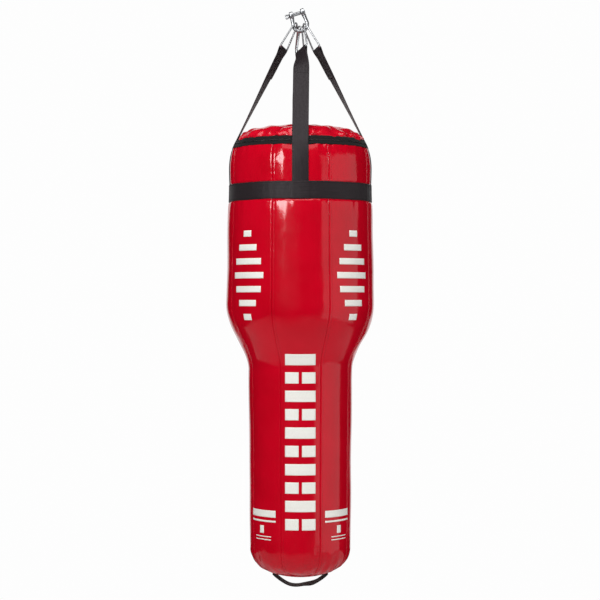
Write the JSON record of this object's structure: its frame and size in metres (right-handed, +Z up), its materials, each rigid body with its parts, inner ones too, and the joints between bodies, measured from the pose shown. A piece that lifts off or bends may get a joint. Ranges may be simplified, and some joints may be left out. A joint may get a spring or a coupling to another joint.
{
  "type": "hanging punching bag",
  "caption": "Hanging angle bag: a padded red vinyl heavy bag, wide above and narrow below, on four webbing straps, triangle rings and a bow shackle.",
  "frame": {"origin": "on the axis of the shackle's pin, straight above the bag's vertical axis, where it hangs from its hook", "axes": "+Z up, the bag's front faces -Y, +X to the viewer's right"},
  "size_m": [0.415, 0.415, 1.6278],
  "materials": {
    "shackle_chrome": "polished",
    "ring_chrome": "polished",
    "webbing": "woven",
    "red_vinyl": "gloss",
    "zip_tape": "woven",
    "zip_metal": "satin",
    "foam": "matte",
    "sack_cloth": "matte",
    "textile_filling": "matte",
    "white_print": "satin"
  },
  "bodies": {
    "pin": {"shackle_pin": "shackle_chrome"},
    "bow": {"shackle_bow": "shackle_chrome"},
    "bag": {"ring_front": "ring_chrome", "ring_left": "ring_chrome", "ring_back": "ring_chrome", "ring_right": "ring_chrome", "strap_front": "webbing", "strap_left": "webbing", "strap_back": "webbing", "strap_right": "webbing", "waist_band": "webbing", "top_cover": "red_vinyl", "zip_tape_upper": "zip_tape", "zip_teeth": "zip_metal", "zip_tape_lower": "zip_tape", "zip_stop": "zip_metal", "panel_1": "red_vinyl", "panel_2": "red_vinyl", "panel_3": "red_vinyl", "panel_4": "red_vinyl", "panel_5": "red_vinyl", "panel_6": "red_vinyl", "panel_7": "red_vinyl", "panel_8": "red_vinyl", "bottom_disc": "red_vinyl", "bottom_loop": "webbing", "loop_backing": "webbing", "foam_liner": "foam", "inner_sack": "sack_cloth", "filling": "textile_filling", "top_foam": "foam"},
    "slider": {"zip_slider": "zip_metal"},
    "pull": {"zip_pull": "zip_metal"}
  },
  "joints": [
    {"name": "fore_aft_swing", "type": "hinge", "parent": "pin", "child": "bow", "pos_m": [0, 0, 0], "axis": [0.9563, 0, 0.2924], "range_deg": [-60, 60]},
    {"name": "side_sway", "type": "hinge", "parent": "bow", "child": "bag", "pos_m": [0, 0, -0.03242], "axis": [0, 1, 0], "range_deg": [-20, 20]},
    {"name": "zip_travel", "type": "hinge", "parent": "bag", "child": "slider", "pos_m": [0, 0, -0.374], "axis": [0, 0, 1], "range_deg": [-51, 0]},
    {"name": "pull_flip", "type": "hinge", "parent": "slider", "child": "pull", "pos_m": [0.04991, 0.18626, -0.37057], "axis": [-0.1233, -0.4601, 0.8793], "range_deg": [0, 120]}
  ]
}
